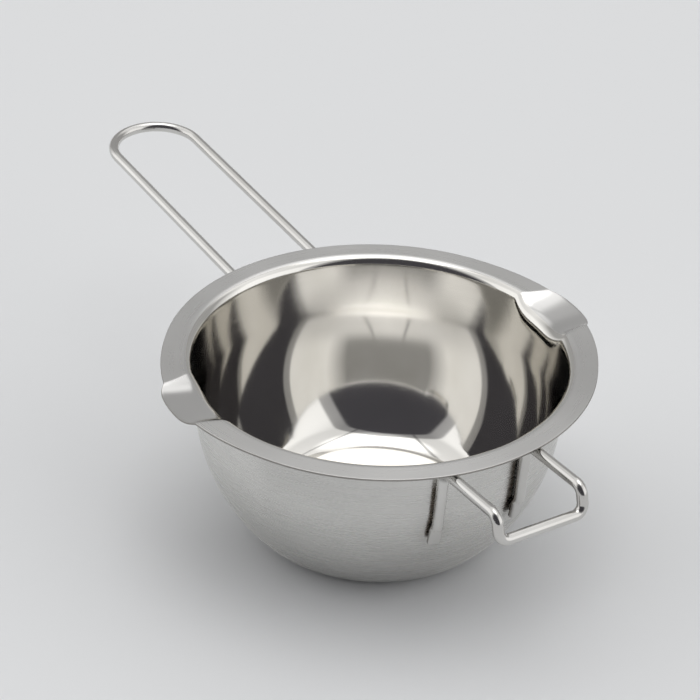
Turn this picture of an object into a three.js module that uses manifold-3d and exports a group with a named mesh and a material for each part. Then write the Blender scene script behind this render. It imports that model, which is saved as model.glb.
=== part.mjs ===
// Chocolate melting pot: a drawn steel bowl with two pressed pouring spouts, a long wire handle
// and a short wire hook. Millimetres, +Z up. The origin is the middle of the base's underside,
// the long handle points along -X, the hook along +X and the spouts lie along -Y and +Y.
// Left is the side of -Y.

import * as THREE from "three";
import { mergeVertices } from "three/addons/utils/BufferGeometryUtils.js";
import Module from "manifold-3d";

const wasm = await Module();
wasm.setup();

// Bowl: one drawn sheet. Radii and heights are those of the outer face unless the name says otherwise.
// The belly's arc would be widest at its centre's height, but the leaning wall leaves it below that.
const sheet = 0.6;
const rimHeight = 63.2;
const rimRadius = 70;
const wallLean = THREE.MathUtils.degToRad(4.6);
const lipBend = 3.2;
const bellyWidest = 59.9;
const bellyHeight = 48;
const bellyRadius = 66;
const baseCorner = 14;

// Pouring spouts: troughs pressed into the flange. A trough is wider and deeper at the bowl's inside, where
// pressing pushes the lip inwards, than at the rim, where it draws the edge out past the circle. The rim
// swells a little over a longer stretch.
const spoutTurn = THREE.MathUtils.degToRad(-4.5);
const spoutHalfWidth = 12;
const spoutFlare = 3;
const spoutDepthInside = 3.2;
const spoutDepthRim = 1;
const spoutInset = 2;
const spoutOverhang = 2.1;
const spoutSwell = 1.6;
const spoutSwellHalfWidth = 40;
const spoutFade = 10;
const spoutSteepness = 3.4;
const spoutSteepnessRim = 4.4;

// Handles: round wire, bent cold. Spreads are between the middles of the two runs of a wire.
const wire = 3.6;
const handleSpread = 31.8;
const handleReach = 173.5;
const handleTilt = THREE.MathUtils.degToRad(3);
const hookSpread = 30.4;
const hookReach = 93.5;
const hookTilt = THREE.MathUtils.degToRad(3);
const hookDrop = 8.3;
const hookSlant = THREE.MathUtils.degToRad(14);
const hookBend = 3.3;
const legBend = 4;
const legStraight = 2;
const legEndHeight = 30.3;

// Welds: the last stretch of each leg is pressed flat on both sides over a nugget of fused metal.
const flatLength = 7;
const flatThickness = 2;
const nuggetThickness = 0.5;
const nuggetWidth = 2;
const nuggetLength = 5;
const seatGap = 0.3;
const weldGap = 0.2;

// Facets.
const bowlSides = 96;
const spoutSides = 6;
const cornerSteps = 3;
const bellySteps = 8;
const wallSteps = 4;
const lipSteps = 3;
const flangeSteps = 5;
const wireSides = 12;
const legSteps = 6;
const nuggetSides = 6;
const bendStep = THREE.MathUtils.degToRad(15);
const shortestRun = 0.01;

// Finishes: the satin bowl, the bright drawn wires and the dull welds.
const satinSteel = { color: 0xb9b7b3, roughness: 0.3 };
const brightSteel = { color: 0xc6c5c3, roughness: 0.15 };
const weldSteel = { color: 0x8f8c88, roughness: 0.5 };

const UP = new THREE.Vector3(0, 0, 1);

// The point of a profile arc at an angle.
function arcPoint(centre, radius, angle) {
  return new THREE.Vector2(Math.cos(angle), Math.sin(angle)).multiplyScalar(radius).add(centre);
}

// The belly arc's centre, and the centre of the base corner, which touches the belly arc and the base.
const bellyCentre = new THREE.Vector2(bellyWidest - bellyRadius, bellyHeight);
const cornerRun = bellyRadius - baseCorner;
const cornerFall = bellyHeight - baseCorner;
const cornerTurn = Math.asin(cornerFall / cornerRun);
const cornerCentre = new THREE.Vector2(bellyCentre.x + cornerRun * Math.cos(cornerTurn), baseCorner);

// The radius, at a height, of a line beside the belly and the wall at a distance away from the outer face.
// The leaning wall runs on from the belly's arc in line with it.
function wallRadius(height, away) {
  const foot = arcPoint(bellyCentre, bellyRadius + away, -wallLean);
  if (height > foot.y) {
    return foot.x + (height - foot.y) * Math.tan(wallLean);
  }
  return bellyCentre.x + Math.sqrt((bellyRadius + away) ** 2 - (bellyHeight - height) ** 2);
}

// The lip's bend runs on in line with the wall in turn. The lip's radius is that of the bend's innermost
// outer face.
const lipHeight = rimHeight - lipBend;
const outerBend = lipBend - sheet;
const lipMeets = wallRadius(lipHeight + outerBend * Math.sin(wallLean), 0);
const lipCentre = new THREE.Vector2(lipMeets + outerBend * Math.cos(wallLean), lipHeight);
const lipRadius = lipCentre.x - outerBend;

function solidOf(geometry) {
  const bare = geometry.clone();
  bare.deleteAttribute("normal");
  bare.deleteAttribute("uv");
  const merged = mergeVertices(bare);
  return new wasm.Manifold(
    new wasm.Mesh({
      numProp: 3,
      vertProperties: new Float32Array(merged.attributes.position.array),
      triVerts: new Uint32Array(merged.index.array),
    }),
  );
}

function geometryOf(solid) {
  const mesh = solid.getMesh();
  const geometry = new THREE.BufferGeometry();
  geometry.setAttribute("position", new THREE.BufferAttribute(mesh.vertProperties, mesh.numProp));
  geometry.setIndex(new THREE.BufferAttribute(mesh.triVerts, 1));
  geometry.computeVertexNormals();
  return geometry;
}

function part(name, geometry, finish) {
  const material = new THREE.MeshStandardMaterial({ ...finish, metalness: 1 });
  const mesh = new THREE.Mesh(geometry, material);
  mesh.name = name;
  return mesh;
}

// Points of a profile line in equal steps, without its first point.
function lineSteps(from, to, steps) {
  return new THREE.LineCurve(from, to).getPoints(steps).slice(1);
}

// Points of a profile arc in equal steps, without its first point.
function arcSteps(centre, radius, from, to, steps) {
  const clockwise = to < from;
  const arc = new THREE.EllipseCurve(centre.x, centre.y, radius, radius, from, to, clockwise);
  return arc.getPoints(steps).slice(1);
}

// One face of the sheet from the axis to the rim's edge: base, corner, belly, wall, lip and flange.
// inset is 0 on the outer face and one sheet on the inner face.
function sheetFace(inset) {
  const bend = outerBend + inset;
  const points = [new THREE.Vector2(0, inset)];
  points.push(new THREE.Vector2(cornerCentre.x, inset));
  points.push(...arcSteps(cornerCentre, baseCorner - inset, -Math.PI / 2, -cornerTurn, cornerSteps));
  points.push(...arcSteps(bellyCentre, bellyRadius - inset, -cornerTurn, -wallLean, bellySteps));
  points.push(...lineSteps(points.at(-1), arcPoint(lipCentre, bend, Math.PI - wallLean), wallSteps));
  points.push(...arcSteps(lipCentre, bend, Math.PI - wallLean, Math.PI / 2, lipSteps));
  points.push(...lineSteps(points.at(-1), new THREE.Vector2(rimRadius, lipHeight + bend), flangeSteps));
  return points;
}

// Bunches the lathe's facets at the spouts, so that one facet line runs along each crease.
const creaseLine = (spoutSides * 2 * Math.PI) / bowlSides;
const creaseAngle = Math.asin(spoutHalfWidth / rimRadius);
const bunching = (creaseLine - creaseAngle) / Math.sin(2 * creaseLine);
const radialAngle = 3 * creaseAngle;

// Presses the spouts into a point of the plain bowl. Seen from a spout's middle line, the point's place
// across the trough is scaled so that facet lines follow the trough's two creases, and beside the trough
// they turn radial again. The trough sinks by a flat-bottomed curve, its inner lip is pushed inwards and
// its outer edge is drawn outwards, all fading out below the lip.
function pressSpouts(point) {
  const radius = Math.hypot(point.x, point.y);
  const side = Math.sign(point.y * Math.cos(spoutTurn) - point.x * Math.sin(spoutTurn)) || 1;
  const middle = spoutTurn + (side * Math.PI) / 2;
  const even = Math.atan2(point.y, point.x) - middle;
  const off = Math.atan2(Math.sin(even), Math.cos(even));
  const bunched = off - bunching * Math.sin(2 * off);
  const fade = THREE.MathUtils.smoothstep(point.z, rimHeight - spoutFade, rimHeight - lipBend / 2);
  const outward = THREE.MathUtils.clamp((radius - lipRadius) / (rimRadius - lipRadius), 0, 1);
  const halfWidth = spoutHalfWidth + spoutFlare * (1 - outward) ** 1.5;
  const across = (rimRadius * Math.sin(bunched) * halfWidth) / spoutHalfWidth;
  const share = Math.min(Math.abs(across) / halfWidth, 1);
  const steepness = THREE.MathUtils.lerp(spoutSteepness, spoutSteepnessRim, outward);
  const sink = (1 - share ** steepness) * fade;
  const swell = Math.max(1 - (across / spoutSwellHalfWidth) ** 2, 0) ** 2;
  const nearness = 1 - THREE.MathUtils.smoothstep(Math.abs(bunched), creaseAngle, radialAngle);
  const straight = Math.asin(THREE.MathUtils.clamp(across / radius, -1, 1));
  const turn = middle + THREE.MathUtils.lerp(bunched, straight, nearness * fade);
  const drawn = (spoutOverhang * sink + spoutSwell * swell) * outward ** 2;
  const reach = radius + drawn - spoutInset * sink * (1 - outward) ** 2;
  point.x = reach * Math.cos(turn);
  point.y = reach * Math.sin(turn);
  point.z -= THREE.MathUtils.lerp(spoutDepthInside, spoutDepthRim, outward) * sink;
}

function bowlGeometry() {
  const profile = [...sheetFace(0), ...sheetFace(sheet).reverse()];
  const geometry = new THREE.LatheGeometry(profile, bowlSides, spoutTurn + Math.PI);
  geometry.rotateX(Math.PI / 2);
  const place = geometry.attributes.position;
  const point = new THREE.Vector3();
  for (let i = 0; i < place.count; i++) {
    point.fromBufferAttribute(place, i);
    if (Math.hypot(point.x, point.y) > sheet) {
      pressSpouts(point);
    }
    place.setXYZ(i, point.x, point.y, point.z);
  }
  geometry.computeVertexNormals();
  return geometry;
}

// An arc in space from one point to another, round a centre.
class Bend extends THREE.Curve {
  constructor(centre, from, to) {
    super();
    this.centre = centre;
    this.start = from.clone().sub(centre);
    this.angle = this.start.angleTo(to.clone().sub(centre));
    this.axis = this.start.clone().cross(to.clone().sub(centre)).normalize();
  }
  getPoint(t, target = new THREE.Vector3()) {
    return target.copy(this.start).applyAxisAngle(this.axis, this.angle * t).add(this.centre);
  }
}

// The distance of a wire's middle from the outer wall, and how far out a leg's middle stands at a height, in
// the upright plane at a distance across from the pot's middle.
const wallStand = seatGap + wire / 2;
function legOut(height, across) {
  return Math.sqrt(wallRadius(height, wallStand) ** 2 - across ** 2);
}

// The run of a leg along the wall and the belly, between two heights.
class LegRun extends THREE.Curve {
  constructor(outSign, across, from, to) {
    super();
    Object.assign(this, { outSign, across, from, to });
  }
  getPoint(t, target = new THREE.Vector3()) {
    const height = THREE.MathUtils.lerp(this.from, this.to, t);
    return target.set(this.outSign * legOut(height, this.across), this.across, height);
  }
}

// A wire's path: its pieces in turn, each with its own number of steps, so that bends get more rings
// than straight runs.
class WirePath extends THREE.Curve {
  constructor() {
    super();
    this.pieces = [];
  }
  add(curve, steps) {
    for (let i = 0; i < steps; i++) {
      this.pieces.push({ curve, from: i / steps, span: 1 / steps });
    }
  }
  getPoint(t, target = new THREE.Vector3()) {
    const place = THREE.MathUtils.clamp(t, 0, 1) * this.pieces.length;
    const index = Math.min(Math.floor(place), this.pieces.length - 1);
    const piece = this.pieces[index];
    return piece.curve.getPoint(piece.from + piece.span * (place - index), target);
  }
  getUtoTmapping(u) {
    return u;
  }
}

// Adds a run through corner points to a path, with each inner corner rounded by its bend radius.
function addBentRun(path, corners, bends) {
  let last = corners[0];
  bends.forEach((bend, i) => {
    const corner = corners[i + 1];
    const back = corners[i].clone().sub(corner).normalize();
    const on = corners[i + 2].clone().sub(corner).normalize();
    const half = back.angleTo(on) / 2;
    const cut = bend / Math.tan(half);
    const from = back.clone().multiplyScalar(cut).add(corner);
    const to = on.clone().multiplyScalar(cut).add(corner);
    const centre = back.clone().add(on).setLength(bend / Math.sin(half)).add(corner);
    if (last.distanceTo(from) > shortestRun) {
      path.add(new THREE.LineCurve3(last, from), 1);
    }
    path.add(new Bend(centre, from, to), Math.max(Math.round((Math.PI - 2 * half) / bendStep), 1));
    last = to;
  });
  path.add(new THREE.LineCurve3(last, corners.at(-1)), 1);
}

// A whole wire: up one leg, out through the given corners on one side, across, and back down the other leg.
// The corners and bends are those of the half at negative Y, from the leg outwards.
function wirePath(outSign, spread, outerCorners, outerBends) {
  const legTop = outerCorners[0].z - legBend - legStraight;
  const leg = new LegRun(outSign, -spread / 2, legEndHeight, legTop);
  const half = [leg.getPoint(1), ...outerCorners];
  const mirrored = half.map((corner) => new THREE.Vector3(corner.x, -corner.y, corner.z)).reverse();
  const bends = [legBend, ...outerBends];
  const path = new WirePath();
  path.add(leg, legSteps);
  addBentRun(path, [...half, ...mirrored], [...bends, ...bends.toReversed()]);
  path.add(new LegRun(outSign, spread / 2, legTop, legEndHeight), legSteps);
  return path;
}

// The frame of a leg's flattened end: it sits on the wire's middle and its third axis points out of the wall.
function flatFrame(outSign, across) {
  const height = legEndHeight + flatLength / 2;
  const out = legOut(height, across);
  const lean = Math.max(Math.asin((bellyHeight - height) / (bellyRadius + wallStand)), wallLean);
  const normal = new THREE.Vector3(outSign * out, across, 0).setLength(Math.cos(lean));
  normal.z = -Math.sin(lean);
  const frame = new THREE.Matrix4().lookAt(normal, new THREE.Vector3(), UP);
  return frame.setPosition(outSign * out, across, height);
}

// Presses a leg's end flat: all but the flat's thickness is taken off, on the side of the wall and outside.
// The wall side keeps room for the nugget and its clearances.
const innerFlat = weldGap + nuggetThickness + weldGap - wallStand;
function flatCuts(outSign, across) {
  const frame = flatFrame(outSign, across);
  const cutDepth = wire;
  const cutLength = 2 * flatLength;
  const lower = (cutLength - flatLength) / 2;
  return [innerFlat - cutDepth / 2, innerFlat + flatThickness + cutDepth / 2].map((away) => {
    const cut = new THREE.BoxGeometry(2 * wire, cutLength, cutDepth);
    cut.translate(0, -lower, away);
    cut.applyMatrix4(frame);
    return solidOf(cut);
  });
}

function wireGeometry(path, outSign, spread) {
  const section = new THREE.Shape().absarc(0, 0, wire / 2, 0, 2 * Math.PI);
  const options = { extrudePath: path, steps: path.pieces.length, curveSegments: wireSides / 2 };
  let solid = solidOf(new THREE.ExtrudeGeometry(section, options));
  for (const across of [-spread / 2, spread / 2]) {
    for (const cut of flatCuts(outSign, across)) {
      solid = solid.subtract(cut);
    }
  }
  return geometryOf(solid);
}

// A weld nugget: a flat slug with round ends, between a leg's flat and the wall.
function nuggetGeometry(outSign, across) {
  const frame = flatFrame(outSign, across);
  const straight = (nuggetLength - nuggetWidth) / 2;
  const outline = new THREE.Shape();
  outline.absarc(0, straight, nuggetWidth / 2, 0, Math.PI);
  outline.absarc(0, -straight, nuggetWidth / 2, Math.PI, 2 * Math.PI);
  const options = { depth: nuggetThickness, bevelEnabled: false, curveSegments: nuggetSides };
  const geometry = new THREE.ExtrudeGeometry(outline, options);
  geometry.translate(0, 0, weldGap - wallStand);
  geometry.applyMatrix4(frame);
  return geometry;
}

// A corner on the line of a wire's arm, which clears the flange's edge and rises outwards from there.
function armCorner(outSign, spread, tilt, out) {
  const across = spread / 2;
  const rimOut = Math.sqrt(rimRadius ** 2 - across ** 2);
  const under = rimHeight - sheet - seatGap - wire / 2 / Math.cos(tilt);
  return new THREE.Vector3(outSign * out, -across, under + (out - rimOut) * Math.tan(tilt));
}

// The long handle's wire rises outwards to a half-round loop.
function longHandlePath() {
  const outs = [legOut(lipHeight, handleSpread / 2), handleReach - wire / 2];
  const corners = outs.map((out) => armCorner(-1, handleSpread, handleTilt, out));
  return wirePath(-1, handleSpread, corners, [handleSpread / 2]);
}

// The hook's wire turns down at its outer end with a slant, and crosses over at the bottom.
function hookPath() {
  const barOut = hookReach - wire / 2;
  const outs = [legOut(lipHeight, hookSpread / 2), barOut - hookDrop * Math.tan(hookSlant)];
  const corners = outs.map((out) => armCorner(1, hookSpread, hookTilt, out));
  corners.push(new THREE.Vector3(barOut, -hookSpread / 2, corners[1].z - hookDrop));
  return wirePath(1, hookSpread, corners, [hookBend, hookBend]);
}

const pot = new THREE.Group();
pot.name = "melting_pot";
pot.add(part("bowl", bowlGeometry(), satinSteel));
pot.add(part("long_handle", wireGeometry(longHandlePath(), -1, handleSpread), brightSteel));
pot.add(part("hook_handle", wireGeometry(hookPath(), 1, hookSpread), brightSteel));
for (const [name, outSign, spread] of [["handle", -1, handleSpread], ["hook", 1, hookSpread]]) {
  pot.add(part(`${name}_weld_left`, nuggetGeometry(outSign, -spread / 2), weldSteel));
  pot.add(part(`${name}_weld_right`, nuggetGeometry(outSign, spread / 2), weldSteel));
}

export default pot;
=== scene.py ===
# %% [markdown]
# # A chocolate melting pot
# The pot is a small insert for a pan of hot water: one bowl drawn from stainless sheet, two bent wires and
# four spot welds. The CAD frame holds every piece at its real size. This lesson keeps that frame and works
# out each surface again, fine enough to carry a polish, because a mirror shows every facet.

import math

import bpy
import numpy as np
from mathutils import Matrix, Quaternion, Vector


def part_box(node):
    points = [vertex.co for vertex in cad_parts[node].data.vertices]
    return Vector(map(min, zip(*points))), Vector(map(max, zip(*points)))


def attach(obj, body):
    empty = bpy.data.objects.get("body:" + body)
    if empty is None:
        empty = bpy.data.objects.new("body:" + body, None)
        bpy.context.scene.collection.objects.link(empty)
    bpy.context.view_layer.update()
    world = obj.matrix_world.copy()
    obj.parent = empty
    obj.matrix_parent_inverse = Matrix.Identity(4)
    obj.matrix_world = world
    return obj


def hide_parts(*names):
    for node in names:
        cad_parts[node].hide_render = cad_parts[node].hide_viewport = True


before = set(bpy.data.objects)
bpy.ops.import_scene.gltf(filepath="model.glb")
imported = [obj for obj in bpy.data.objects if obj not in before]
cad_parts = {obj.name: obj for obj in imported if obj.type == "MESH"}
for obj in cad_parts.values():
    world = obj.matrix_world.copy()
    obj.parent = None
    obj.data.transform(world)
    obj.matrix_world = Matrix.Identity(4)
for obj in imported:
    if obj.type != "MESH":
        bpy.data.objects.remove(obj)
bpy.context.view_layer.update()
scene = bpy.context.scene
scene.view_settings.view_transform = "Standard"
MM = 0.001
print("CAD nodes:", sorted(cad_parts))

# %% [markdown]
# ## Two small helpers
# Colours are written as sRGB hex codes, as a paint chart gives them, and Blender's shaders work on linear
# light, so one function turns the first into the second. A second function adds a shader node: its
# settings become attributes, its inputs are values or links from other nodes, and the stops of a colour
# ramp are pairs of a place and a colour.


# %% Colour and node helpers
def linear(code):
    """An sRGB hex code as linear red, green, blue and alpha, by the standard's two-part curve."""
    channels = np.array([int(code[i:i + 2], 16) for i in (1, 3, 5)]) / 255
    curve = np.where(channels <= 0.04045, channels / 12.92, ((channels + 0.055) / 1.055) ** 2.4)
    return (*curve.tolist(), 1.0)


def add_node(tree, kind, inputs=None, stops=None, **settings):
    """Adds one node with its settings, and fills its inputs with values or links from other sockets."""
    node = tree.nodes.new(kind)
    for name, value in settings.items():
        setattr(node, name, value)
    for name, value in (inputs or {}).items():
        if isinstance(value, bpy.types.NodeSocket):
            tree.links.new(value, node.inputs[name])
        else:
            node.inputs[name].default_value = value
    if stops:
        elements = node.color_ramp.elements
        while len(elements) < len(stops):
            elements.new(1.0)
        for element, (place, colour) in zip(elements, stops):
            element.position = place
            element.color = colour
    return node


# %% [markdown]
# ## The camera
# The photograph was taken from about three quarters of a metre with a long lens, looking down at the pot
# by some 32 degrees, with the frame turned a little. The focal length is written in pixels of the 700 pixel
# picture, which a camera fitted to the rim gives directly, and turned into millimetres on a 36 mm sensor.

# %% Camera
picture_width = 700
focal_pixels = 2400
sensor_width = 36
camera_place = Vector((0.5455, -0.3553, 0.4786))
camera_aim = Vector((-0.0063, -0.0076, 0.0632))
camera_roll = math.radians(1.94)

lens = bpy.data.cameras.new("portrait_camera")
lens.sensor_width = sensor_width
lens.lens = focal_pixels / picture_width * sensor_width
camera = bpy.data.objects.new("portrait_camera", lens)
camera.location = camera_place
camera.rotation_mode = "QUATERNION"
level = (camera_aim - camera_place).to_track_quat("-Z", "Y")
camera.rotation_quaternion = level @ Quaternion((0, 0, 1), camera_roll)
scene.collection.objects.link(camera)
scene.camera = camera
print(f"camera: {lens.lens:.1f} mm lens, {(camera_aim - camera_place).length:.3f} m away")

# %% [markdown]
# ## The light tent
# Polished steel has hardly a colour of its own: it shows the room. The pot stands in a white light tent
# that is open towards the camera, and the world's colour is that tent as a function of direction. The walls
# are white at the sides and darker at the back, the roof takes over higher up, and a lamp stands above it.
# A modelled tent with lamps would do as well, but a formula gives soft light without noise.

# %% Tent levels
tent_turn = math.radians(-10)
tent_heading = math.atan2(camera_place.y, camera_place.x) + tent_turn
roof_starts = math.radians(36)
roof_ends = math.radians(48)
lamp_starts = math.radians(62)
lamp_ends = math.radians(75)
lamp_level = 1.0


def grey(level_of_light):
    """A neutral grey of the given linear level."""
    return (level_of_light, level_of_light, level_of_light, 1.0)


def at_degrees(angle, level_of_light):
    """A ramp stop at an angle away from the tent's opening, from 0 to 180 degrees."""
    return angle / 180, grey(level_of_light)


wall_stops = [at_degrees(0, 0.82), at_degrees(104, 0.95), at_degrees(130, 0.31), at_degrees(180, 0.31)]
roof_stops = [at_degrees(0, 0.58), at_degrees(100, 0.72), at_degrees(180, 0.88)]
print(f"light tent: opening towards {math.degrees(tent_heading):.1f} degrees")

# %% Walls, roof and lamp
world = bpy.data.worlds.new("light_tent")
scene.world = world
world.use_nodes = True
sky = world.node_tree
sky.nodes.clear()
direction = add_node(sky, "ShaderNodeTexCoord")
turned = add_node(sky, "ShaderNodeVectorRotate",
                  {"Vector": direction.outputs["Generated"], "Angle": -tent_heading},
                  rotation_type="Z_AXIS")
axes = add_node(sky, "ShaderNodeSeparateXYZ", {"Vector": turned.outputs["Vector"]})
around = add_node(sky, "ShaderNodeMath", {0: axes.outputs["Y"], 1: axes.outputs["X"]},
                  operation="ARCTAN2")
aside = add_node(sky, "ShaderNodeMath", {0: around.outputs[0]}, operation="ABSOLUTE")
share = add_node(sky, "ShaderNodeMath", {0: aside.outputs[0], 1: math.pi}, operation="DIVIDE")
walls = add_node(sky, "ShaderNodeValToRGB", {"Fac": share.outputs[0]}, stops=wall_stops)
roof = add_node(sky, "ShaderNodeValToRGB", {"Fac": share.outputs[0]}, stops=roof_stops)
height = add_node(sky, "ShaderNodeMath", {0: axes.outputs["Z"]}, operation="ARCSINE")
overhead = add_node(sky, "ShaderNodeMapRange",
                    {"Value": height.outputs[0], "From Min": roof_starts, "From Max": roof_ends},
                    interpolation_type="SMOOTHSTEP")
canvas = add_node(sky, "ShaderNodeMix",
                  {"Factor": overhead.outputs[0], 6: walls.outputs["Color"], 7: roof.outputs["Color"]},
                  data_type="RGBA")
lamp = add_node(sky, "ShaderNodeMapRange",
                {"Value": height.outputs[0], "From Min": lamp_starts, "From Max": lamp_ends,
                 "To Max": lamp_level}, interpolation_type="SMOOTHSTEP")
tent = add_node(sky, "ShaderNodeMix", {"Factor": 1.0, 6: canvas.outputs[2], 7: lamp.outputs[0]},
                data_type="RGBA", blend_type="ADD")
print(f"tent: {len(wall_stops)} levels round the walls, {len(roof_stops)} round the roof, one lamp")

# %% [markdown]
# ## The tent's opening and seams
# With x towards the opening, y to its side and z up, the opening is the inside of a rounded cone: there,
# x - start z is more than the length of (round z, y / slope). It shows the dark room, with a grey border
# where the cloth is folded back. Two seams of the roof run towards the back at a fixed y / z. The camera
# itself sees a plain pale backdrop instead of the tent.

# %% Opening
opening_start = 0.28
opening_round = 0.12
opening_slope = 1.32
ramp_middle = 0.5
closed_stops = [(0.30, grey(1.0)), (0.34, grey(0.35)), (0.48, grey(0.30)), (0.52, grey(0.0))]

rounding = add_node(sky, "ShaderNodeMath", {0: axes.outputs["Z"], 1: opening_round}, operation="MULTIPLY")
narrow = add_node(sky, "ShaderNodeMath", {0: axes.outputs["Y"], 1: opening_slope}, operation="DIVIDE")
cone = add_node(sky, "ShaderNodeCombineXYZ", {"X": rounding.outputs[0], "Y": narrow.outputs[0]})
cone_edge = add_node(sky, "ShaderNodeVectorMath", {0: cone.outputs[0]}, operation="LENGTH")
lean = add_node(sky, "ShaderNodeMath", {0: axes.outputs["Z"], 1: -opening_start, 2: axes.outputs["X"]},
                operation="MULTIPLY_ADD")
inside_cone = add_node(sky, "ShaderNodeMath", {0: lean.outputs[0], 1: cone_edge.outputs["Value"]},
                       operation="SUBTRACT")
centred = add_node(sky, "ShaderNodeMath", {0: inside_cone.outputs[0], 1: ramp_middle}, operation="ADD")
closed = add_node(sky, "ShaderNodeValToRGB", {"Fac": centred.outputs[0]}, stops=closed_stops)
print("opening: border and cloth at", [round(place - ramp_middle, 2) for place, _ in closed_stops])

# %% Seams and backdrop
seam_aside = 0.36
seam_core = 0.008
seam_edge = 0.03
seam_shade = 0.45
room_colour = linear("#3e3d41")
tent_strength = 1.4
backdrop_colour = linear("#d7d8d9")

to_side = add_node(sky, "ShaderNodeMath", {0: axes.outputs["Y"]}, operation="ABSOLUTE")
off_seam = add_node(sky, "ShaderNodeMath", {0: axes.outputs["Z"], 1: -seam_aside, 2: to_side.outputs[0]},
                    operation="MULTIPLY_ADD")
seam_gap = add_node(sky, "ShaderNodeMath", {0: off_seam.outputs[0]}, operation="ABSOLUTE")
seam = add_node(sky, "ShaderNodeMapRange",
                {"Value": seam_gap.outputs[0], "From Min": seam_core, "From Max": seam_edge,
                 "To Min": seam_shade, "To Max": 1.0}, interpolation_type="SMOOTHSTEP")
sewn = add_node(sky, "ShaderNodeMix",
                {"Factor": overhead.outputs[0], 6: tent.outputs[2], 7: seam.outputs[0]},
                data_type="RGBA", blend_type="MULTIPLY")
opened = add_node(sky, "ShaderNodeMix",
                  {"Factor": closed.outputs["Color"], 6: room_colour, 7: sewn.outputs[2]}, data_type="RGBA")
tent_light = add_node(sky, "ShaderNodeBackground", {"Color": opened.outputs[2], "Strength": tent_strength})
backdrop = add_node(sky, "ShaderNodeBackground", {"Color": backdrop_colour, "Strength": 1.0})
path = add_node(sky, "ShaderNodeLightPath")
seen = add_node(sky, "ShaderNodeMixShader",
                {0: path.outputs["Is Camera Ray"], 1: tent_light.outputs[0], 2: backdrop.outputs[0]})
add_node(sky, "ShaderNodeOutputWorld", {"Surface": seen.outputs[0]})
print(f"world: {len(sky.nodes)} nodes")

# %% [markdown]
# ## From grids to meshes
# Every piece here is a surface worked out on a grid: rows along a profile or a path, columns around it. One
# function turns such a grid into a mesh. The columns close on themselves, and a fan of triangles runs from
# the first and the last row to a single point each, so the result is a closed skin.


# %% Grid mesh
def grid_mesh(name, rows, first_pole, last_pole):
    """A closed skin from a rows x columns x 3 grid in metres, with a fan to a pole at each end."""
    count, columns, _ = rows.shape
    index = np.arange(count * columns).reshape(count, columns)
    onward = np.roll(index, -1, axis=1)
    quads = np.stack([index[:-1], onward[:-1], onward[1:], index[1:]], axis=-1).reshape(-1, 4)
    first, last = count * columns, count * columns + 1
    start_fan = np.stack([onward[0], index[0], np.full(columns, first)], axis=-1)
    end_fan = np.stack([index[-1], onward[-1], np.full(columns, last)], axis=-1)
    points = np.concatenate([rows.reshape(-1, 3), [first_pole, last_pole]])
    mesh = bpy.data.meshes.new(name)
    mesh.from_pydata(points.tolist(), [], quads.tolist() + start_fan.tolist() + end_fan.tolist())
    mesh.shade_smooth()
    return mesh


def add_attribute(mesh, name, kind, values):
    """Stores one number or one vector for each vertex, for the materials to read."""
    attribute = mesh.attributes.new(name, kind, "POINT")
    field = "vector" if kind == "FLOAT_VECTOR" else "value"
    attribute.data.foreach_set(field, np.asarray(values, np.float32).ravel())


def add_piece(name, mesh, node):
    """Puts a mesh into the scene as a piece that rides on the pot and stands for a CAD node."""
    piece = bpy.data.objects.new(name, mesh)
    scene.collection.objects.link(piece)
    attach(piece, "root")
    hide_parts(node)
    low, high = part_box(node)
    made = np.array([corner[:] for corner in piece.bound_box])
    off = max(np.abs(made.min(0) - low).max(), np.abs(made.max(0) - high).max()) / MM
    print(f"{name}: {len(mesh.polygons)} faces, box within {off:.2f} mm of its CAD node")


# %% [markdown]
# ## The bowl's section
# A press draws the bowl from one sheet, so its section is a chain of arcs and lines that touch: flat base,
# base corner, belly, a wall that leans out a little, a bend outwards at the lip and the flat flange. Each
# runs on in line with the one before, as a kink would show in the polish. The inner face is the same chain,
# one sheet further in. The rim's edge stays as the shears cut it, with only its two corners taken off.

# %% Bowl sizes
bowl_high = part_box("bowl")[1]
rim_height = bowl_high.z / MM
rim_radius = bowl_high.x / MM
sheet = 0.6
wall_lean = math.radians(4.6)
lip_bend = 3.2
belly_widest = 59.9
belly_height = 48
belly_radius = 66
base_corner = 14

belly_centre = np.array([belly_widest - belly_radius, belly_height])
corner_run = belly_radius - base_corner
corner_turn = math.asin((belly_height - base_corner) / corner_run)
corner_centre = np.array([belly_centre[0] + corner_run * math.cos(corner_turn), base_corner])


def wall_radius(height, away):
    """The radius at a height, moved out by a distance: the belly's arc, then the wall in line with it."""
    foot = belly_centre + (belly_radius + away) * np.array([math.cos(wall_lean), -math.sin(wall_lean)])
    fall = belly_height - np.minimum(height, foot[1])
    on_arc = belly_centre[0] + np.sqrt((belly_radius + away) ** 2 - fall ** 2)
    return on_arc + np.maximum(height - foot[1], 0) * math.tan(wall_lean)


lip_height = rim_height - lip_bend
outer_bend = lip_bend - sheet
lip_meets = wall_radius(lip_height + outer_bend * math.sin(wall_lean), 0)
lip_centre = np.array([lip_meets + outer_bend * math.cos(wall_lean), lip_height])
lip_radius = lip_centre[0] - outer_bend
print(f"bowl: rim {2 * rim_radius:.1f} mm wide and {rim_height:.1f} mm high, lip at {lip_radius:.1f} mm")

# %% Bowl section
edge_round = 0.1
base_steps = 10
corner_steps = 14
belly_steps = 42
wall_steps = 20
lip_steps = 12
flange_steps = 14
edge_steps = 3


def line(start, end, steps):
    """Evenly spaced points of a line, without its first point."""
    return np.linspace(start, end, steps + 1)[1:]


def arc(centre, radius, start, end, steps):
    """Points of an arc, centre + radius x cosine and sine of even angles, without its first point."""
    angles = np.linspace(start, end, steps + 1)[1:]
    return centre + radius * np.stack([np.cos(angles), np.sin(angles)], axis=1)


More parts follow.
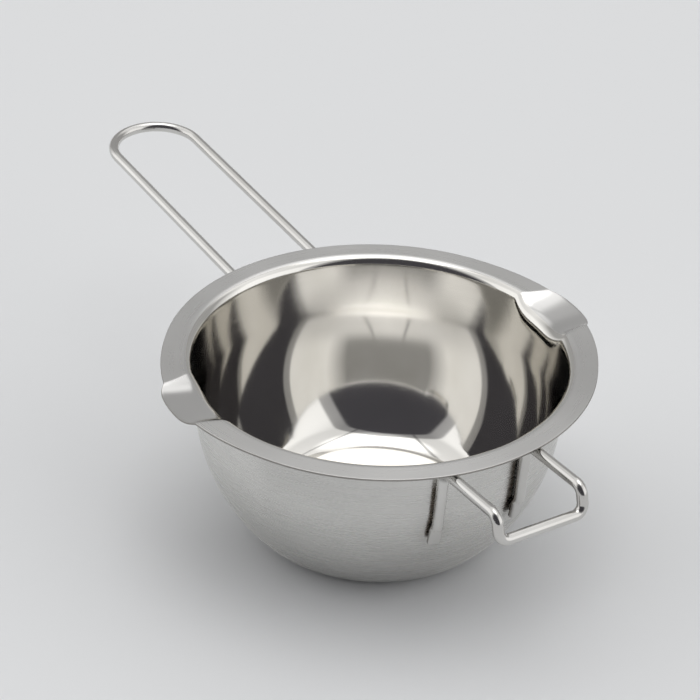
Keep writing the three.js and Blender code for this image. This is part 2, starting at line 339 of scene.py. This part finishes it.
def sheet_face(inset):
    """One face of the sheet, as radius and height, from beside the axis to the rim's edge."""
    bend = outer_bend + inset
    corner = arc(corner_centre, base_corner - inset, -math.pi / 2, -corner_turn, corner_steps)
    belly = arc(belly_centre, belly_radius - inset, -corner_turn, -wall_lean, belly_steps)
    lip_start = lip_centre + bend * np.array([-math.cos(wall_lean), math.sin(wall_lean)])
    lip = arc(lip_centre, bend, math.pi - wall_lean, math.pi / 2, lip_steps)
    return np.concatenate([
        line((0, inset), (corner_centre[0], inset), base_steps), corner, belly,
        line(belly[-1], lip_start, wall_steps), lip,
        line(lip[-1], (rim_radius - edge_round, lip_height + bend), flange_steps)])


outer_face = sheet_face(0)
inner_face = sheet_face(sheet)[::-1]
edge_low = np.array([rim_radius - edge_round, rim_height - sheet + edge_round])
edge_high = np.array([rim_radius - edge_round, rim_height - edge_round])
rim_edge = np.concatenate([arc(edge_low, edge_round, -math.pi / 2, 0, edge_steps),
                           edge_high[None] + (edge_round, 0),
                           arc(edge_high, edge_round, 0, math.pi / 2, edge_steps)[:-1]])
section = np.concatenate([outer_face, rim_edge, inner_face])
section_run = np.concatenate([[0], np.cumsum(np.hypot(*np.diff(section, axis=0).T))])
print(f"bowl section: {len(section)} points over {section_run[-1]:.1f} mm")

# %% [markdown]
# ## The pouring spouts
# Each spout is a trough pressed down into the flange, wider and deeper at the inside than at the rim. In
# Blender it could be sculpted, but a formula keeps it clean enough for reflections. Around a spout's middle
# line the grid's columns follow the trough's two creases. The trough sinks by 1 - |u|^p across its width, a
# flat floor between steep sides, softened where it meets the flange. The pressing pushes the inner lip
# inwards, draws the outer edge out and swells the rim over a longer stretch.

# %% Spout sizes
spout_turn = math.radians(-4.5)
spout_half_width = 12
spout_flare = 3
spout_flare_power = 1.5
spout_depth_inside = 3.2
spout_depth_rim = 1
spout_inset = 2
spout_overhang = 2.1
spout_swell = 1.6
spout_swell_half_width = 40
spout_fade = 10
spout_steepness = 3.4
spout_steepness_rim = 4.4
crease_softness = 0.05
crease_angle = math.asin(spout_half_width / rim_radius)
straight_columns_end = 3 * crease_angle
print(f"spouts: creases {2 * math.degrees(crease_angle):.1f} degrees apart on the rim")


# %% Pressing the spouts
def smoothstep(value, low, high):
    """The cubic ease from 0 at low to 1 at high."""
    t = np.clip((value - low) / (high - low), 0, 1)
    return t * t * (3 - 2 * t)


def press_spouts(radius, angle, z):
    """Moves points of the plain bowl into the two spouts, and says how far each is pressed, 0 to 1."""
    side = np.sign(np.sin(angle - spout_turn))
    middle = spout_turn + side * math.pi / 2
    off = np.arctan2(np.sin(angle - middle), np.cos(angle - middle))
    fade = smoothstep(z, rim_height - spout_fade, rim_height - lip_bend / 2)
    outward = np.clip((radius - lip_radius) / (rim_radius - lip_radius), 0, 1)
    half_width = spout_half_width + spout_flare * (1 - outward) ** spout_flare_power
    across = rim_radius * np.sin(off) * half_width / spout_half_width
    steepness = spout_steepness + (spout_steepness_rim - spout_steepness) * outward
    depth = 1 - np.abs(across / half_width) ** steepness
    sink = (depth + np.sqrt(depth ** 2 + crease_softness ** 2)) / 2 * fade
    swell = np.maximum(1 - (across / spout_swell_half_width) ** 2, 0) ** 2
    near = 1 - smoothstep(np.abs(off), crease_angle, straight_columns_end)
    straight = np.arcsin(np.clip(across / np.maximum(radius, spout_half_width), -1, 1))
    turn = middle + off + (straight - off) * near * fade
    drawn = (spout_overhang * sink + spout_swell * swell) * outward ** 2
    reach = radius + drawn - spout_inset * sink * (1 - outward) ** 2
    fall = (spout_depth_inside + (spout_depth_rim - spout_depth_inside) * outward) * sink
    return np.stack([reach * np.cos(turn), reach * np.sin(turn), z - fall], axis=-1), sink


# %% [markdown]
# ## The bowl's skin
# The section is turned once round the axis, as on a lathe, and pressed into the spouts on the way. The Spin
# tool would give even columns. Here they lie close at the spouts, where the sheet bends sharply, and wide
# apart elsewhere. The section's last point is left out, because the pole inside takes its place.

# %% Bowl mesh
fine_step = math.radians(0.35)
coarse_step = math.radians(1.5)
spout_zone = 1.5 * crease_angle
between_spouts = math.pi - 2 * spout_zone
zone_edges = np.cumsum([0, 2 * spout_zone, between_spouts, 2 * spout_zone, between_spouts])
zone_steps = [fine_step, coarse_step, fine_step, coarse_step]
columns = np.concatenate([
    np.linspace(start, end, round((end - start) / step), endpoint=False)
    for start, end, step in zip(zone_edges, zone_edges[1:], zone_steps)])
columns = columns + spout_turn - math.pi / 2 - spout_zone

angle_grid = np.broadcast_to(columns, (len(section) - 1, len(columns)))
radius_grid = np.broadcast_to(section[:-1, :1], angle_grid.shape)
height_grid = np.broadcast_to(section[:-1, 1:], angle_grid.shape)
bowl_rows, pressed = press_spouts(radius_grid, angle_grid, height_grid)
bowl_mesh = grid_mesh("bowl_skin", bowl_rows * MM, (0, 0, 0), (0, 0, sheet * MM))
add_piece("bowl_skin", bowl_mesh, "bowl")

# %% [markdown]
# ## What the bowl's finishes need to know
# Brushing follows the surface, so each vertex keeps its place on the unrolled sheet, in millimetres: once
# round the rim's circle, and along the section. A second number says how well a vertex is polished. Inside,
# the wheel reaches the floor and loses touch up the wall. On the flange, the press smoothed the troughs.

# %% Bowl attributes
wheel_reaches = 34
wheel_misses = 54
flange_margin = 1

run_grid = np.broadcast_to(section_run[:-1, None], angle_grid.shape)
bowl_grain = np.stack([rim_radius * np.cos(angle_grid), rim_radius * np.sin(angle_grid), run_grid], axis=-1)
bowl_grain = np.concatenate([bowl_grain.reshape(-1, 3), [(0, 0, 0), (0, 0, section_run[-1])]])
add_attribute(bowl_mesh, "grain", "FLOAT_VECTOR", bowl_grain)
wheel_touch = 1 - smoothstep(bowl_rows[..., 2], wheel_reaches, wheel_misses)
flange_starts = lip_centre[0] - flange_margin
polish = np.where(radius_grid > flange_starts, pressed, wheel_touch)
add_attribute(bowl_mesh, "polish", "FLOAT", np.append(polish.ravel(), [1, 1]))
print(f"flange: from radius {flange_starts:.1f} mm outwards")

# %% [markdown]
# ## The wires' paths
# Both wires are bent from the same round stock. A path starts at a leg's lower end, climbs the wall at a
# small stand-off, bends out under the flange, runs out to the far end and comes back mirrored. The long
# handle turns in one half circle. The hook bends down first, so that it can hang over the edge of a pan. In
# Blender a curve with a bevel would do for the round part, but the ends are pressed flat, so the sections
# are worked out here.

# %% Legs and arms
wire = 3.6
seat_gap = 0.3
leg_end_height = 30.3
wall_stand = seat_gap + wire / 2


def unit(vectors):
    """Vectors scaled to length one."""
    return vectors / np.linalg.norm(vectors, axis=-1, keepdims=True)


def leg_out(height, across):
    """How far out a leg stands: it keeps off the belly's arc and the wall, at a fixed place across."""
    return np.sqrt(wall_radius(height, wall_stand) ** 2 - across ** 2)


def arm_height(out, spread, tilt):
    """The arm's middle line: it passes just under the flange's edge and climbs by its tilt further out."""
    edge_out = math.sqrt(rim_radius ** 2 - (spread / 2) ** 2)
    below = rim_height - sheet - seat_gap - wire / 2 / math.cos(tilt)
    return below + (out - edge_out) * math.tan(tilt)


print(f"legs: middle line {wall_stand:.1f} mm off the wall, ends {leg_end_height:.1f} mm up")

# %% Path functions
leg_bend = 4
leg_straight = 2
leg_points = 60
bend_points = 31
ring_step = 0.3
end_rings = np.array([0.03, 0.1, 0.2])
same_point = 1e-6


def rounded(corners, bends):
    """A path through corner points, with an arc of the given radius at each inner corner."""
    path = [corners[:1]]
    share = np.linspace(0, 1, bend_points)[:, None]
    for before, corner, after, bend in zip(corners, corners[1:], corners[2:], bends):
        back, onward = unit(before - corner), unit(after - corner)
        half = math.acos(back @ onward) / 2
        turn = math.pi - 2 * half
        middle = corner + unit(back + onward) * bend / math.sin(half)
        start = corner + back * bend / math.tan(half) - middle
        end = corner + onward * bend / math.tan(half) - middle
        swept = np.sin((1 - share) * turn) * start + np.sin(share * turn) * end
        path.append(middle + swept / math.sin(turn))
    return np.concatenate([*path, corners[-1:]])


def wire_path(side, spread, outs, heights, bends):
    """A wire's middle line from one leg's end to the other, at even steps and closer ones at its ends."""
    leg_top = heights[0] - leg_bend - leg_straight
    leg_heights = np.linspace(leg_end_height, leg_top, leg_points)
    across = -spread / 2
    leg = np.stack([leg_out(leg_heights, across), np.full(leg_points, across), leg_heights], axis=1)
    half = np.stack([outs, np.full(len(outs), across), heights], axis=1)
    mirror = np.array([1, -1, 1])
    corners = np.concatenate([leg[-1:], half, half[::-1] * mirror, leg[-1:] * mirror])
    path = np.concatenate([leg[:-1], rounded(corners, [*bends, *bends[::-1]]), leg[-2::-1] * mirror])
    path = path[np.append(True, np.linalg.norm(np.diff(path, axis=0), axis=1) > same_point)]
    run = np.append(0, np.cumsum(np.linalg.norm(np.diff(path, axis=0), axis=1)))
    even = np.arange(ring_step, run[-1] - ring_step / 2, ring_step)
    places = np.concatenate([end_rings, even, run[-1] - end_rings[::-1]])
    points = np.stack([np.interp(places, run, axis) for axis in path.T], axis=1)
    return points * np.array([side, 1, 1]), places, run[-1]


# %% Handle and hook paths
handle_spread = 31.8
handle_tilt = math.radians(3)
handle_reach = -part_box("long_handle")[0].x / MM
handle_outs = np.array([leg_out(lip_height, handle_spread / 2), handle_reach - wire / 2])
handle_heights = arm_height(handle_outs, handle_spread, handle_tilt)
handle_line = wire_path(-1, handle_spread, handle_outs, handle_heights, [leg_bend, handle_spread / 2])

hook_spread = 30.4
hook_tilt = math.radians(3)
hook_drop = 8.3
hook_slant = math.radians(14)
hook_bend = 3.3
hook_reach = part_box("hook_handle")[1].x / MM
bar_out = hook_reach - wire / 2
hook_outs = np.array([leg_out(lip_height, hook_spread / 2), bar_out - hook_drop * math.tan(hook_slant)])
hook_heights = arm_height(hook_outs, hook_spread, hook_tilt)
hook_outs = np.append(hook_outs, bar_out)
hook_heights = np.append(hook_heights, hook_heights[-1] - hook_drop)
hook_line = wire_path(1, hook_spread, hook_outs, hook_heights, [leg_bend, hook_bend, hook_bend])
print(f"wires: {handle_line[2]:.0f} mm for the long handle, {hook_line[2]:.0f} mm for the hook")

# %% [markdown]
# ## The wires' sections
# A ring is carried along each path. Its first axis points into the loop, or along the wall on the legs, and
# its second one is square to that and to the path. On the last 7 mm of each leg the welding electrode has
# pressed the ring flat: the part of the circle beyond the flat is cut off, the ring gets wider, and the
# flat moves in to the wall. The cut ends of the wire are rounded over half a millimetre. Like the bowl,
# each wire keeps its grain. A second attribute holds painted shade on the backs of the legs, the side
# that faces the wall, so that the gap behind each leg and its reflection in the wall show dark.

# %% Ring axes
flat_length = 7
flat_top = leg_end_height + flat_length
turn_starts = flat_top + 2
turn_ends = flat_top + 9
off_middle = 1e-9  # gives the middle of the loop, where y is zero, a side of its own


def ring_axes(points, spread, far_inward):
    """The ring's two axes at each point, square to the path, and the one of them that looks to the wall."""
    along = unit(np.gradient(points, axis=0))
    x, y, z = points.T
    side = np.sign(y + off_middle)
    on_leg = (1 - smoothstep(z, turn_starts, turn_ends))[:, None]
    towards_middle = -side[:, None] * np.array([0, 1, 0])
    along_wall = (-np.sign(x) * side)[:, None] * unit(np.stack([-y, x, 0 * x], axis=1))
    width = np.clip(np.abs(y) / (spread / 2), 0, 1)[:, None]
    guide = width * (on_leg * along_wall + (1 - on_leg) * towards_middle)
    guide = guide + (1 - width) * np.asarray(far_inward)
    first = unit(guide - np.sum(guide * along, axis=1, keepdims=True) * along)
    second = np.cross(along, first)
    outwards = np.stack([x, y, 0 * x], axis=1)
    to_wall = -np.sign(np.sum(second * outwards, axis=1))[:, None] * second
    return first, second, to_wall


print(f"flats: {flat_length} mm long, up to {flat_top:.1f} mm")

# %% Wire attributes
# How high the legs' painted shade reaches, and how far round the ring it spreads from the back that faces
# the wall.
leg_shade_ends = 50
leg_shade_fade = 6
leg_shade_starts = -0.5
leg_shade_full = 0.5
ring_points = 28
ring_turns = np.linspace(0, 2 * math.pi, ring_points, endpoint=False)


def wire_grain(places, length):
    """Each vertex's place on the straight wire, in mm: round its circle, and along its run."""
    circle = wire / 2 * np.stack([np.cos(ring_turns), np.sin(ring_turns)], axis=1)
    turns = np.broadcast_to(circle, (len(places), ring_points, 2))
    runs = np.broadcast_to(places[:, None, None], (len(places), ring_points, 1))
    grain = np.concatenate([turns, runs], axis=2).reshape(-1, 3)
    return np.concatenate([grain, [(0, 0, 0), (0, 0, length)]])


def leg_painted_shade(height, second, to_wall):
    """Painted shade at each vertex, from 0 to 1: most on a leg's back, which faces the wall, and none above
    the leg.
    """
    facing_wall = np.sum(to_wall * second, axis=1, keepdims=True) * np.sin(ring_turns)
    on_leg = 1 - smoothstep(height, leg_shade_ends, leg_shade_ends + leg_shade_fade)
    weld_tint_and_leg_shade = smoothstep(facing_wall, leg_shade_starts, leg_shade_full) * on_leg[:, None]
    return np.append(weld_tint_and_leg_shade.ravel(), [1, 1])


# %% Wire meshes
flat_thickness = 2.0
flat_spread = 1.16
flat_shift = 0.35
flat_shoulder = 0.4
end_round = 0.5


def wire_mesh(name, line, spread, far_inward):
    """Rings along a path: middle + first axis x radius cosine + second axis x clipped radius sine."""
    points, places, length = line
    first, second, to_wall = ring_axes(points, spread, far_inward)
    flat = 1 - smoothstep(points[:, 2], flat_top - flat_shoulder, flat_top + flat_shoulder)
    middle = points + to_wall * (flat_shift * flat)[:, None]
    from_end = np.clip(np.minimum(places, length - places) / end_round, 0, 1)
    close = np.sqrt(1 - (1 - from_end) ** 2)[:, None]
    half_flat = (wire / 2 + (flat_thickness / 2 - wire / 2) * flat)[:, None]
    wide = (1 + (flat_spread - 1) * flat)[:, None]
    u = wire / 2 * np.cos(ring_turns) * wide * close
    v = np.clip(wire / 2 * np.sin(ring_turns), -half_flat, half_flat) * close
    rows = middle[:, None] + u[..., None] * first[:, None] + v[..., None] * second[:, None]
    mesh = grid_mesh(name, rows * MM, points[0] * MM, points[-1] * MM)
    add_attribute(mesh, "grain", "FLOAT_VECTOR", wire_grain(places, length))
    # Painted shade: the backs of the legs, which face the wall, are darkened.
    add_attribute(mesh, "weld_tint_and_leg_shade", "FLOAT", leg_painted_shade(points[:, 2], second, to_wall))
    return mesh


hook_inward = (-math.sin(hook_slant), 0, math.cos(hook_slant))
handle_mesh = wire_mesh("long_handle_wire", handle_line, handle_spread, (1, 0, 0))
hook_mesh = wire_mesh("hook_wire", hook_line, hook_spread, hook_inward)
add_piece("long_handle_wire", handle_mesh, "long_handle")
add_piece("hook_wire", hook_mesh, "hook_handle")

# %% [markdown]
# ## The welds
# Each flat is joined to the wall by a resistance weld: a lens of steel that melted between the two and was
# squeezed out a little at the sides. A ball from the menu, scaled flat, would do for its body. Here it is
# worked out like the other pieces, long along the leg, with a slight ripple where the melt set.

# %% Weld beads
bead_length = 5.6
bead_width = 3.0
bead_thickness = 0.7
bead_height = leg_end_height + flat_length / 2
bead_stand = -(wall_stand + flat_thickness / 2 + flat_shift) / 2
bead_lean = math.asin((belly_height - bead_height) / (belly_radius + wall_stand))
bead_rings = 20
bead_columns = 36
ripple_depth = 0.05
ripple_lobes = 5
ripple_waves = 3
polar = np.linspace(0, math.pi, bead_rings)[1:-1, None]
circle = np.linspace(0, 2 * math.pi, bead_columns, endpoint=False)


def bead_mesh(name, side, across):
    """A flat ball on the wall: length x cosine of the polar angle, width and thickness x its sine."""
    out = side * leg_out(bead_height, across)
    outward = unit(np.array([out, across, 0]))
    normal = outward * math.cos(bead_lean) - np.array([0, 0, math.sin(bead_lean)])
    wide = np.array([-outward[1], outward[0], 0])
    long = np.cross(normal, wide)
    centre = np.array([out, across, bead_height]) + normal * bead_stand
    ripple = 1 + ripple_depth * np.cos(ripple_lobes * circle) * np.sin(ripple_waves * polar)
    rows = (centre - (bead_length / 2 * np.cos(polar) * np.ones_like(circle))[..., None] * long
            + (bead_width / 2 * np.sin(polar) * np.cos(circle) * ripple)[..., None] * wide
            + (bead_thickness / 2 * np.sin(polar) * np.sin(circle) * ripple)[..., None] * normal)
    tips = centre - bead_length / 2 * long, centre + bead_length / 2 * long
    return grid_mesh(name, rows * MM, tips[0] * MM, tips[1] * MM)


welds = {"handle_weld_left": (-1, -handle_spread / 2), "handle_weld_right": (-1, handle_spread / 2),
         "hook_weld_left": (1, -hook_spread / 2), "hook_weld_right": (1, hook_spread / 2)}
bead_meshes = [bead_mesh(f"{node}_bead", *place) for node, place in welds.items()]
for node, mesh in zip(welds, bead_meshes):
    add_piece(mesh.name, mesh, node)

# %% [markdown]
# ## The tint around the welds
# The heat of a weld leaves a soft straw-brown patch on the steel around it. It could be painted by hand as
# a vertex colour. Here the tint attribute, which on the legs carries painted shade, falls off on the bowl
# with the distance from the nearest weld, as a bell curve, and only on the outer face of the sheet.

# %% Heat around the welds
halo_reach = 4.5
halo_strength = 0.35
weld_places = np.array([(side * leg_out(bead_height, across), across, bead_height)
                        for side, across in welds.values()])
weld_distance = np.linalg.norm(bowl_rows[:, :, None] - weld_places, axis=-1).min(axis=-1)
bowl_scorch = halo_strength * np.exp(-(weld_distance / halo_reach) ** 2)
bowl_scorch[len(outer_face):] = 0
add_attribute(bowl_mesh, "weld_tint_and_leg_shade", "FLOAT", np.append(bowl_scorch.ravel(), [0, 0]))
print(f"weld tint: up to {bowl_scorch.max():.2f} on the bowl's outside")

# %% [markdown]
# ## Stage
# A pale matte floor lies a hair under the base, and runs far enough to fill every view. It is a single
# face, because nothing on it bends.

# %% Floor
floor_reach = 6.0
floor_gap = 0.00005
floor_mesh = bpy.data.meshes.new("floor")
corners = [(-floor_reach, -floor_reach), (floor_reach, -floor_reach), (floor_reach, floor_reach),
           (-floor_reach, floor_reach)]
floor_mesh.from_pydata([(x, y, -floor_gap) for x, y in corners], [], [(0, 1, 2, 3)])
floor = bpy.data.objects.new("floor", floor_mesh)
scene.collection.objects.link(floor)

# Uncoated paper scatters light evenly, so the floor shows soft shadows and hardly any gloss.
paper = bpy.data.materials.new("matte_paper")
paper.use_nodes = True
paper_shader = paper.node_tree.nodes["Principled BSDF"]
paper_shader.inputs["Base Color"].default_value = linear("#e4e5e6")
paper_shader.inputs["Roughness"].default_value = 0.9
paper_shader.inputs["Specular IOR Level"].default_value = 0.1
floor_mesh.materials.append(paper)
print(f"floor: {2 * floor_reach:.0f} m square")

# %% [markdown]
# ## Steel with a grain
# Every finish on this pot is a set of fine lines: brushing and polishing lines run round the bowl, drawing
# lines run along the wires. One function makes such a steel. It reads the grain attribute, in millimetres,
# stretches a noise along the lines, and lets it change the roughness and the height. A slower cloud changes
# the colour a little. Real lines lie a few hundredths of a millimetre apart, too fine for a picture of the
# whole pot, so they are drawn coarser here, at about one to the millimetre with finer ones between. Where
# the tint attribute says so, the colour goes over to a dark brownish grey: heat tint round the welds on the
# bowl, and painted shade on the backs of the legs.

# %% Steel function
# A dark brownish grey: the heat tint round the welds, and painted shade on the legs' backs.
weld_tint_and_leg_shade_colour = linear("#6a625a")
line_octaves = 4.0
line_harshness = 0.65
line_low = 0.25
line_high = 0.75
clouds_per_metre = 30.0
cloud_octaves = 2.0
cloud_dark = 0.35
cloud_light = 0.65
across_the_lines = 0.25  # a quarter turn, so that reflections blur up and down, across the lines


def steel(name, light, dark, roughness, polished, spread, line_scale, line_depth, anisotropy):
    """A metal from rough to polished. Its grain changes the roughness by a share and the height in mm."""
    material = bpy.data.materials.new(name)
    material.use_nodes = True
    tree = material.node_tree
    shader = tree.nodes["Principled BSDF"]
    grain = add_node(tree, "ShaderNodeAttribute", attribute_name="grain")
    stretch = add_node(tree, "ShaderNodeMapping", {"Vector": grain.outputs["Vector"], "Scale": line_scale})
    lines = add_node(tree, "ShaderNodeTexNoise", {"Vector": stretch.outputs[0], "Scale": 1.0,
                                                  "Detail": line_octaves, "Roughness": line_harshness})
    place = add_node(tree, "ShaderNodeTexCoord")
    cloud = add_node(tree, "ShaderNodeTexNoise", {"Vector": place.outputs["Object"],
                                                  "Scale": clouds_per_metre, "Detail": cloud_octaves})
    tone = add_node(tree, "ShaderNodeValToRGB", {"Fac": cloud.outputs["Fac"]},
                    stops=[(cloud_dark, linear(dark)), (cloud_light, linear(light))])
    polish = add_node(tree, "ShaderNodeAttribute", attribute_name="polish")
    state = add_node(tree, "ShaderNodeMapRange", {"Value": polish.outputs["Fac"], "To Min": roughness,
                                                  "To Max": polished})
    worn = add_node(tree, "ShaderNodeMapRange",
                    {"Value": lines.outputs["Fac"], "From Min": line_low, "From Max": line_high,
                     "To Min": 1 - spread, "To Max": 1 + spread})
    rough = add_node(tree, "ShaderNodeMath", {0: state.outputs[0], 1: worn.outputs[0]},
                     operation="MULTIPLY")
    relief = add_node(tree, "ShaderNodeBump", {"Height": lines.outputs["Fac"], "Strength": 1.0,
                                               "Distance": line_depth * MM})
    lay = add_node(tree, "ShaderNodeTangent", direction_type="RADIAL", axis="Z")
    # The tint attribute brings in heat tint round the welds and painted shade on the legs' backs.
    weld_tint_and_leg_shade = add_node(tree, "ShaderNodeAttribute", attribute_name="weld_tint_and_leg_shade")
    tinted_and_shaded = add_node(tree, "ShaderNodeMix", {"Factor": weld_tint_and_leg_shade.outputs["Fac"], 6: tone.outputs["Color"],
                                              7: weld_tint_and_leg_shade_colour}, data_type="RGBA")
    tree.links.new(tinted_and_shaded.outputs[2], shader.inputs["Base Color"])
    tree.links.new(rough.outputs[0], shader.inputs["Roughness"])
    tree.links.new(relief.outputs[0], shader.inputs["Normal"])
    tree.links.new(lay.outputs[0], shader.inputs["Tangent"])
    shader.inputs["Metallic"].default_value = 1.0
    shader.inputs["Anisotropic"].default_value = anisotropy
    shader.inputs["Anisotropic Rotation"].default_value = across_the_lines
    return material


# %% [markdown]
# ## The bowl's finishes
# The outside is left satin: a belt brushed it round and round. The flange has the same brushing, closed a
# little by the press. The inside was polished to a mirror with a wheel that also ran round, and less so on
# the upper wall, where the wheel hardly reaches. The rim's edge is as the shears tore it. All four are the
# same steel, so one function with other numbers is enough.

# %% Bowl materials
# Fine lines round the bowl draw every reflection out up and down, into a soft sheen.
satin_outside = steel("stainless_satin_brushed", "#d9d8d5", "#d1d0cd", roughness=0.27, polished=0.27,
                      spread=0.10, line_scale=(0.02, 0.02, 1.3), line_depth=0.002, anisotropy=0.92)
# The pressed flange has shallower lines, an even grey face and brighter troughs.
satin_flange = steel("stainless_satin_flange", "#dcdbd9", "#d4d3d1", roughness=0.28, polished=0.16,
                     spread=0.05, line_scale=(0.04, 0.04, 1.3), line_depth=0.0007, anisotropy=0.5)
# The wheel leaves a mirror with clear edges, a little blurred up the wall.
mirror_inside = steel("stainless_wheel_polished", "#dfddd9", "#d8d6d1", roughness=0.10, polished=0.06,
                      spread=0.20, line_scale=(0.02, 0.02, 1.1), line_depth=0.0004, anisotropy=0.95)
# Torn metal scatters the light, so the edge is a thin dull line, darker than the faces beside it.
sheared_edge = steel("stainless_sheared_edge", "#a09d99", "#8e8b87", roughness=0.45, polished=0.45,
                     spread=0.20, line_scale=(0.5, 0.5, 8.0), line_depth=0.01, anisotropy=0.0)
for material in (satin_outside, satin_flange, mirror_inside, sheared_edge):
    bowl_mesh.materials.append(material)
print("bowl finishes:", [material.name for material in bowl_mesh.materials])

# %% Which face has which finish
OUTSIDE, FLANGE, INSIDE, EDGE = range(len(bowl_mesh.materials))
outside_rows = np.full(len(outer_face), OUTSIDE)
edge_rows = np.full(len(rim_edge), EDGE)
inside_rows = np.where(inner_face[:-1, 0] > flange_starts, FLANGE, INSIDE)
row_finish = np.concatenate([outside_rows, edge_rows, inside_rows])
base_fan = np.full(len(columns), OUTSIDE)
floor_fan = np.full(len(columns), INSIDE)
face_finish = np.concatenate([np.repeat(row_finish[:-1], len(columns)), base_fan, floor_fan])
bowl_mesh.polygons.foreach_set("material_index", face_finish.astype(np.int32))
print("bowl faces by finish:", np.bincount(face_finish).tolist())

# %% [markdown]
# ## Wire and weld finishes
# The wire is bright drawn stainless, with fine lines along its length from the die. The welds were never
# polished and stayed as the heat left them.

# %% Wire and weld materials
# Drawn wire is nearly a mirror, so each rod shows a bright streak beside a dark one.
drawn_wire = steel("stainless_bright_drawn", "#d4d3d0", "#c9c7c4", roughness=0.16, polished=0.16,
                   spread=0.25, line_scale=(1.6, 1.6, 0.05), line_depth=0.004, anisotropy=0.0)
# Heat scale is dull and brownish grey, with an uneven skin.
weld_scale = steel("stainless_weld_heat_dulled", "#8d867d", "#6d6761", roughness=0.45, polished=0.45,
                   spread=0.20, line_scale=(1.0, 1.0, 1.0), line_depth=0.02, anisotropy=0.0)
for mesh in (handle_mesh, hook_mesh):
    mesh.materials.append(drawn_wire)
for mesh in bead_meshes:
    mesh.materials.append(weld_scale)
print("wire and weld finishes:", drawn_wire.name, weld_scale.name)
